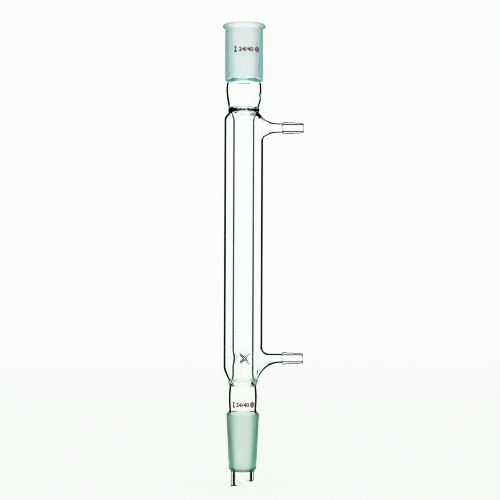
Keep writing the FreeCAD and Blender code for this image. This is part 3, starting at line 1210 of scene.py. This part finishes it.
@dataclass(frozen=True)
class GroundGlass:
    """Frosted glass of a ground taper: milky where it faces the eye, and painted a deeper teal at
    its sides, partly the glass's own green seen through more glass and partly painted shade.
    """

    tint: Colour
    # painted at the sides: the glass's green seen through more glass, and painted shade
    edge: Colour
    white: Colour
    ior: float = 1.47
    roughness: float = 0.42
    milk: float = 0.25
    edge_band: tuple[float, float] = (0.3, 0.95)
    grain: float = 2600.0
    cloud: float = 140.0
    cloudiness: float = 0.12  # how far the clouds change the roughness and the milk
    grinding: tuple[float, float, float] = (20.0, 20.0, 1500.0)  # its marks run round the taper
    depth: float = 0.00006

    def material(self, name: str) -> bpy.types.Material:
        """Builds the material under a name."""
        made, tree = new_material(name)
        place = tree.place()
        clouds = tree.lumps(place, self.cloud) * self.cloudiness - self.cloudiness / 2
        marks = tree.lumps(place, self.grain) + tree.lumps(tree.place(self.grinding)) * 0.5
        relief = tree.relief(marks, 0.35, self.depth)
        frost = {"Color": opaque(self.tint), "IOR": self.ior, "Normal": relief}
        frosted = tree.shader("BsdfGlass", {**frost, "Roughness": clouds + self.roughness})
        matt = {"Base Color": opaque(self.white), "Roughness": 0.85, "Normal": relief}
        skin = tree.shader("BsdfPrincipled", matt)
        # The sides are painted in the edge colour by a mask of the slant: painted shade, with the
        # glass's green.
        edge = {"Color": opaque(self.edge), "Roughness": self.roughness, "IOR": self.ior}
        side = tree.shader("BsdfGlass", edge)
        body = tree.blend(clouds + self.milk, frosted, skin)
        seen = tree.blend(tree.facing().band(*self.edge_band), body, side)
        passing = tree.shader("BsdfTransparent", {"Color": opaque(self.white)})
        surface = tree.blend(tree.ray_is("Shadow"), seen, passing)
        tree.node("ShaderNodeOutputMaterial", inputs={"Surface": surface})
        return made


# In each clear finish the dark colour is painted shade on the bands where a wall is seen at a
# slant; in each ground finish the edge colour is painted shade at its sides, with the glass's
# green.
GLASSES: dict[Finish, ClearGlass | GroundGlass] = {
    Finish.CLEAR: ClearGlass(),
    Finish.INNER_TUBE: ClearGlass(dark=(0.008, 0.03, 0.032)),
    # Painted nearly black over most of a crease: painted shade.
    Finish.INDENT: ClearGlass(outer_edge=(0.06, 0.2), inner_line=(0.2, 0.268, 0.6, 0.7)),
    Finish.HOSE_END: ClearGlass(outer_edge=(0.42, 0.62), inner_line=(0.258, 0.268, 0.42, 0.5)),
    Finish.DRIP_TUBE: ClearGlass(outer_edge=(0.55, 0.8), inner_line=(0.258, 0.268, 0.46, 0.5)),
    # Nearly the whole band round the upper seal's weld is painted black-green: painted shade, over
    # a faint green tint.
    Finish.PAINTED_SHADE_WELD: ClearGlass(
        tint=(0.95, 0.985, 0.97),
        dark=(0.008, 0.025, 0.018),
        outer_edge=(-0.12, 0.2),
        inner_line=(0.2, 0.268, 0.6, 0.8),
        blotch=1.1,
    ),
    # The seals' faint green glass, with pale green painted on its edge-on bands: painted shade.
    Finish.PALE_WELD: ClearGlass(
        tint=(0.97, 0.99, 0.98),
        dark=(0.55, 0.72, 0.64),
        outer_edge=(0.2, 0.6),
        inner_line=(0.258, 0.268, 0.29, 0.33),
        blotch=0.5,
    ),
    Finish.SOCKET_WALL: ClearGlass(
        tint=(0.98, 0.997, 0.995),
        dark=(0.6, 0.79, 0.77),
        outer_edge=(0.25, 0.75),
        inner_line=(0.258, 0.268, 0.42, 0.5),
    ),
    Finish.RIM: ClearGlass(
        tint=(0.985, 1.0, 0.995),
        dark=(0.94, 0.98, 0.975),
        outer_edge=(0.4, 1.0),
        inner_line=(0.258, 0.268, 0.34, 0.4),
    ),
    Finish.CONE_BORE: ClearGlass(
        tint=(0.97, 0.99, 0.98), dark=(0.35, 0.58, 0.48), inner_line=(0.3, 0.4, 0.7, 0.9)
    ),
    Finish.CONE_FOOT: ClearGlass(
        tint=(0.5, 0.7, 0.6), dark=(0.12, 0.3, 0.22), outer_edge=(0.0, 0.5)
    ),
    Finish.SOCKET_GROUND: GroundGlass(
        tint=(0.955, 0.985, 0.982),
        edge=(0.42, 0.72, 0.71),
        white=(0.9, 0.95, 0.95),
        edge_band=(0.15, 0.5),
    ),
    Finish.CONE_GROUND: GroundGlass(
        tint=(0.9, 0.955, 0.925),
        edge=(0.49, 0.73, 0.64),
        white=(0.8, 0.87, 0.82),
        edge_band=(0.04, 0.36),
    ),
}


@dataclass(frozen=True)
class MarkEnamel:
    """Fired-on dark red enamel of the size marks."""

    name: str = "mark_enamel"
    red: Colour = (0.16, 0.008, 0.014)
    brown: Colour = (0.07, 0.006, 0.008)
    cloud: float = 900.0
    depth: float = 0.00003

    def material(self) -> bpy.types.Material:
        """Builds the material."""
        made, tree = new_material(self.name)
        cloud = tree.lumps(tree.place(), self.cloud)
        mix = tree.node(
            "ShaderNodeMix",
            {"data_type": "RGBA"},
            {0: cloud.band(0.35, 0.7), 6: opaque(self.red), 7: opaque(self.brown)},
        )["Result"]
        enamel = {
            "Base Color": mix,
            "Roughness": cloud * 0.2 + 0.25,
            "Normal": tree.relief(cloud, 0.2, self.depth),
        }
        surface = tree.shader("BsdfPrincipled", enamel)
        tree.node("ShaderNodeOutputMaterial", inputs={"Surface": surface})
        return made


@dataclass
class Condenser:
    """The whole piece of glass."""

    places: Places
    body: GlassBody = field(init=False)

    def __post_init__(self) -> None:
        """Makes the body's sizes."""
        self.body = GlassBody(self.places)

    def connections(self) -> list[HoseConnection]:
        """The lower and the upper hose connection."""
        reach = self.places.hose_reach
        return [
            HoseConnection(
                "lower_connection",
                self.places.lower_hose,
                reach,
                above=Flare(19.0, 5.8),
                below=Flare(27.5, 17.0, steepest=50.0),
                aside=Flare(27.5, 34.0),
                deepest=9.4,
                wall=1.1,
            ),
            HoseConnection(
                "upper_connection",
                self.places.upper_hose,
                reach,
                above=Flare(26.0, 20.5),
                below=Flare(26.0, 20.0),
                aside=Flare(26.0, 28.0),
            ),
        ]

    def build(self) -> bpy.types.Object:
        """Builds the glass as one closed mesh in metres, with its finishes.

        Returns:
            The glass.
        """
        glass = self.body.solid()
        water = self.body.water()
        connections = self.connections()
        join_solids(glass, "UNION", [item.solid() for item in connections])
        join_solids(water, "UNION", [item.hollow() for item in connections])
        for piece in (glass, water):
            shape = settled(as_bmesh(piece.data))
            for connection in connections:
                connection.soften(shape)
            shape.to_mesh(piece.data)
            shape.free()
        join_solids(glass, "DIFFERENCE", [water])
        glass.name = "condenser_glass"
        shape = settled(as_bmesh(glass.data))
        bmesh.ops.dissolve_degenerate(shape, dist=SLIVER, edges=shape.edges)
        bmesh.ops.remove_doubles(shape, verts=shape.verts, dist=SLIVER)
        loose = sum(not edge.is_manifold for edge in shape.edges)
        for face in shape.faces:
            face.smooth = True
            face.material_index = self.body.finish_at(face.calc_center_median()).value
        bmesh.ops.scale(shape, vec=(MM, MM, MM), verts=shape.verts)
        glass.data.materials.clear()
        for finish in Finish:
            name = f"{finish.name.lower()}_glass"
            glass.data.materials.append(GLASSES[finish].material(name))
        shape.to_mesh(glass.data)
        shape.free()
        glass.data.set_sharp_from_angle(angle=math.radians(SHARP))
        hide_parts(NODE)
        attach(glass, BODY)
        log.info("glass: %d faces, %d open edges", len(glass.data.polygons), loose)
        return glass


@dataclass
class SizeMark:
    """A size mark fired on to the glass: numerals between an hourglass sign and a hatched dot.

    Widths and places along the mark are measured round the glass.
    """

    name: str
    height: float  # middle of the mark, mm
    radius: float
    width: float  # of the numerals
    shift: float  # of the numerals, from the middle of the front to the right
    sign: float  # middle of the left sign
    dot: float  # middle of the right dot
    text: str = "24/40"
    numeral_height: float = 3.1
    stroke: float = 0.032  # how far the numerals' outline is swelled
    dot_radius: float = 2.25
    dot_bars: int = 5
    sign_width: float = 2.0
    sign_height: float = 4.2
    thickness: float = 0.05
    strip: float = 0.35  # widest flat piece once wrapped
    bar_share: float = 0.8  # of a bar's pitch that the bar fills
    waist_level: float = 0.3  # share of the sign's height from its waist to its full width
    waist: float = 0.3  # share of its width

    def numerals(self) -> bmesh.types.BMesh:
        """The numerals lying flat, scaled to their width and height.

        Returns:
            A bmesh in the floor plane, centred on its shift.
        """
        curve = bpy.data.curves.new(self.name, "FONT")
        curve.body = self.text
        curve.extrude = 0.5
        curve.offset = self.stroke
        curve.resolution_u = 6
        writing = linked(self.name, curve)
        mesh = shown_mesh(writing)
        bpy.data.objects.remove(writing)
        shape = as_bmesh(mesh)
        bpy.data.meshes.remove(mesh)
        low = Vector([min(point.co[axis] for point in shape.verts) for axis in range(3)])
        high = Vector([max(point.co[axis] for point in shape.verts) for axis in range(3)])
        bmesh.ops.translate(shape, vec=-(low + high) / 2, verts=shape.verts)
        size = high - low
        stretch = (self.width / size.x, self.numeral_height / size.y, self.thickness / size.z)
        bmesh.ops.scale(shape, vec=stretch, verts=shape.verts)
        bmesh.ops.translate(shape, vec=(self.shift, 0, 0), verts=shape.verts)
        return shape

    def add_hourglass(self, shape: bmesh.types.BMesh) -> None:
        """Adds the left sign, a plain slab with a waist.

        Args:
            shape: The bmesh that takes it.
        """
        size = Matrix.Diagonal((self.sign_width, self.sign_height, self.thickness, 1))
        place = Matrix.Translation((self.sign, 0, 0)) @ size
        made = bmesh.ops.create_cube(shape, size=1, matrix=place)["verts"]
        parts = list(dict.fromkeys(edge for point in made for edge in point.link_edges))
        parts += dict.fromkeys(face for point in made for face in point.link_faces)
        for level in (-self.waist_level, 0.0, self.waist_level):
            cut = bmesh.ops.bisect_plane(
                shape,
                geom=parts + made,
                plane_co=(0, level * self.sign_height, 0),
                plane_no=(0, 1, 0),
            )
            made = only(bmesh.types.BMVert, cut["geom"])
            parts = [item for item in cut["geom"] if not isinstance(item, bmesh.types.BMVert)]
            if not level:
                for point in only(bmesh.types.BMVert, cut["geom_cut"]):
                    point.co.x = self.sign + (point.co.x - self.sign) * self.waist

    def add_dot(self, shape: bmesh.types.BMesh) -> None:
        """Adds the right dot, upright bars that fill a circle.

        Args:
            shape: The bmesh that takes it.
        """
        pitch = 2 * self.dot_radius / self.dot_bars
        for number in range(self.dot_bars):
            aside = (number - (self.dot_bars - 1) / 2) * pitch
            tall = 2 * math.sqrt(self.dot_radius**2 - aside**2)
            size = Matrix.Diagonal((pitch * self.bar_share, tall, self.thickness, 1))
            place = Matrix.Translation((self.dot + aside, 0, 0))
            bmesh.ops.create_cube(shape, size=1, matrix=place @ size)

    def build(self, glass: bpy.types.Object, enamel: bpy.types.Material) -> bpy.types.Object:
        """Builds the mark and lays it on the glass.

        Args:
            glass: The glass that carries it.
            enamel: The mark's material.

        Returns:
            The mark.
        """
        shape = self.numerals()
        self.add_hourglass(shape)
        self.add_dot(shape)
        bmesh.ops.triangulate(shape, faces=shape.faces)
        reach = self.dot + self.dot_radius
        cuts = int(2 * reach / self.strip)
        for cut in range(cuts + 1):
            bmesh.ops.bisect_plane(
                shape,
                geom=everything(shape),
                plane_co=(-reach + cut * self.strip, 0, 0),
                plane_no=(1, 0, 0),
            )
        far = 2 * self.radius * MM
        for point in shape.verts:
            flat = point.co.copy()
            angle = flat.x / self.radius - TURN / 4
            outwards = Vector((math.cos(angle), math.sin(angle), 0))
            level = Vector((0, 0, (self.height + flat.y) * MM))
            hit, place, _, _ = glass.ray_cast(level + outwards * far, -outwards)
            surface = (place - level).length if hit else self.radius * MM
            point.co = level + outwards * (surface + flat.z * MM)
        bmesh.ops.recalc_face_normals(shape, faces=shape.faces)
        mark = as_object(self.name, shape)
        mark.data.materials.append(enamel)
        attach(mark, BODY)
        log.info("%s: %d faces", self.name, len(mark.data.polygons))
        return mark


@dataclass
class Studio:
    """Pale floor, white surroundings, soft lamps and the camera, in metres."""

    places: Places
    white: Colour = (0.965, 0.98, 0.96)
    floor_colour: Colour = (0.9, 0.915, 0.895)
    ambient: float = 0.55
    key_strength: float = 1.0
    fill_strength: float = 0.5
    floor_white: Colour = (0.955, 0.985, 0.945)
    floor_glow: float = 0.8  # share of the floor's look that is plain background
    floor_gap: float = 0.0004
    floor_radius: float = 1.6
    floor_fade: tuple[float, float] = (0.35, 0.98)  # shares of its radius
    floor_segments: int = 96
    camera_distance: float = 1.1
    view_width: float = 0.3683  # at the object
    aim_x: float = 0.0049
    aim_z: float = 0.1208
    lean: float = 0.22  # degrees that the camera leans to its side
    sensor: float = 36.0
    bounces: int = 40
    glossy_bounces: int = 16

    def world(self) -> None:
        """White surroundings for sight, gloss and glass, dimmer ones for light."""
        world = bpy.data.worlds.new("surroundings")
        bpy.context.scene.world = world
        tree = ShaderTree(world)
        light = {"Color": opaque((1, 1, 1)), "Strength": self.ambient}
        sight = {"Color": opaque(self.white), "Strength": 1.0}
        lit, shown = (tree.shader("Background", inputs) for inputs in (light, sight))
        surface = tree.blend(tree.seen_ray(), lit, shown)
        tree.node("ShaderNodeOutputWorld", inputs={"Surface": surface})

    def floor(self) -> None:
        """A pale round floor just under the drip tip, which fades into the surroundings."""
        shape = bmesh.new()
        height = self.places.tip * MM - self.floor_gap
        bmesh.ops.create_circle(
            shape,
            cap_ends=True,
            segments=self.floor_segments,
            radius=self.floor_radius,
            matrix=Matrix.Translation((0, 0, height)),
        )
        floor = as_object("floor", shape)
        made, tree = new_material("pale_floor")
        length = {"operation": "LENGTH"}
        distance = tree.node("ShaderNodeVectorMath", length, {0: tree.place()})["Value"]
        matt = tree.shader("BsdfDiffuse", {"Color": opaque(self.floor_colour)})
        glow = tree.shader("Emission", {"Color": opaque(self.floor_white), "Strength": 1.0})
        pale = tree.blend(tree.seen_ray() * self.floor_glow, matt, glow)
        start, end = (share * self.floor_radius for share in self.floor_fade)
        fade = distance.band(start, end)
        surface = tree.blend(fade, pale, tree.shader("BsdfTransparent"))
        tree.node("ShaderNodeOutputMaterial", inputs={"Surface": surface})
        floor.data.materials.append(made)

    def lamps(self) -> None:
        """Two broad suns: a key from the upper left front and a fill from the right."""
        for name, strength, tilt, turn, spread in (
            ("key", self.key_strength, 48, -35, 50),
            ("fill", self.fill_strength, 55, 60, 70),
        ):
            lamp = bpy.data.lights.new(name, "SUN")
            lamp.energy = strength
            lamp.angle = math.radians(spread)
            linked(name, lamp).rotation_euler = (math.radians(tilt), 0, math.radians(turn))

    def camera(self) -> None:
        """A level camera that looks along +Y at the middle of the picture."""
        lens = bpy.data.cameras.new("camera")
        lens.sensor_width = self.sensor
        lens.lens = self.sensor * self.camera_distance / self.view_width
        lens.clip_start = 0.01
        placed = linked("camera", lens)
        placed.location = (self.aim_x, -self.camera_distance, self.aim_z)
        leaning = Matrix.Rotation(math.radians(self.lean), 4, "Z")
        placed.rotation_euler = (Matrix.Rotation(TURN / 4, 4, "X") @ leaning).to_euler()
        bpy.context.scene.camera = placed

    def set_up(self) -> None:
        """Builds the whole studio and the settings that clear glass needs."""
        self.world()
        self.floor()
        self.lamps()
        self.camera()
        bpy.context.scene.view_settings.view_transform = "Standard"
        cycles = bpy.context.scene.cycles
        cycles.max_bounces = self.bounces
        cycles.transmission_bounces = self.bounces
        cycles.transparent_max_bounces = self.bounces
        cycles.glossy_bounces = self.glossy_bounces
        cycles.filter_width = 1.0


def main() -> None:
    """Builds the glass, its marks and the studio."""
    logging.basicConfig(level=logging.INFO, format="%(name)s: %(message)s")
    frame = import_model()
    places = Places.read(frame)
    condenser = Condenser(places)
    glass = condenser.build()
    enamel = MarkEnamel().material()
    for mark in (
        SizeMark("socket_mark", 267.1, 14.05, 11.2, 1.55, sign=-6.5, dot=10.5),
        SizeMark("neck_mark", 7.5, 10.2, 9.9, -0.1, sign=-7.2, dot=7.9),
    ):
        mark.build(glass, enamel)
    Studio(places).set_up()


if __name__ == "__main__":
    main()
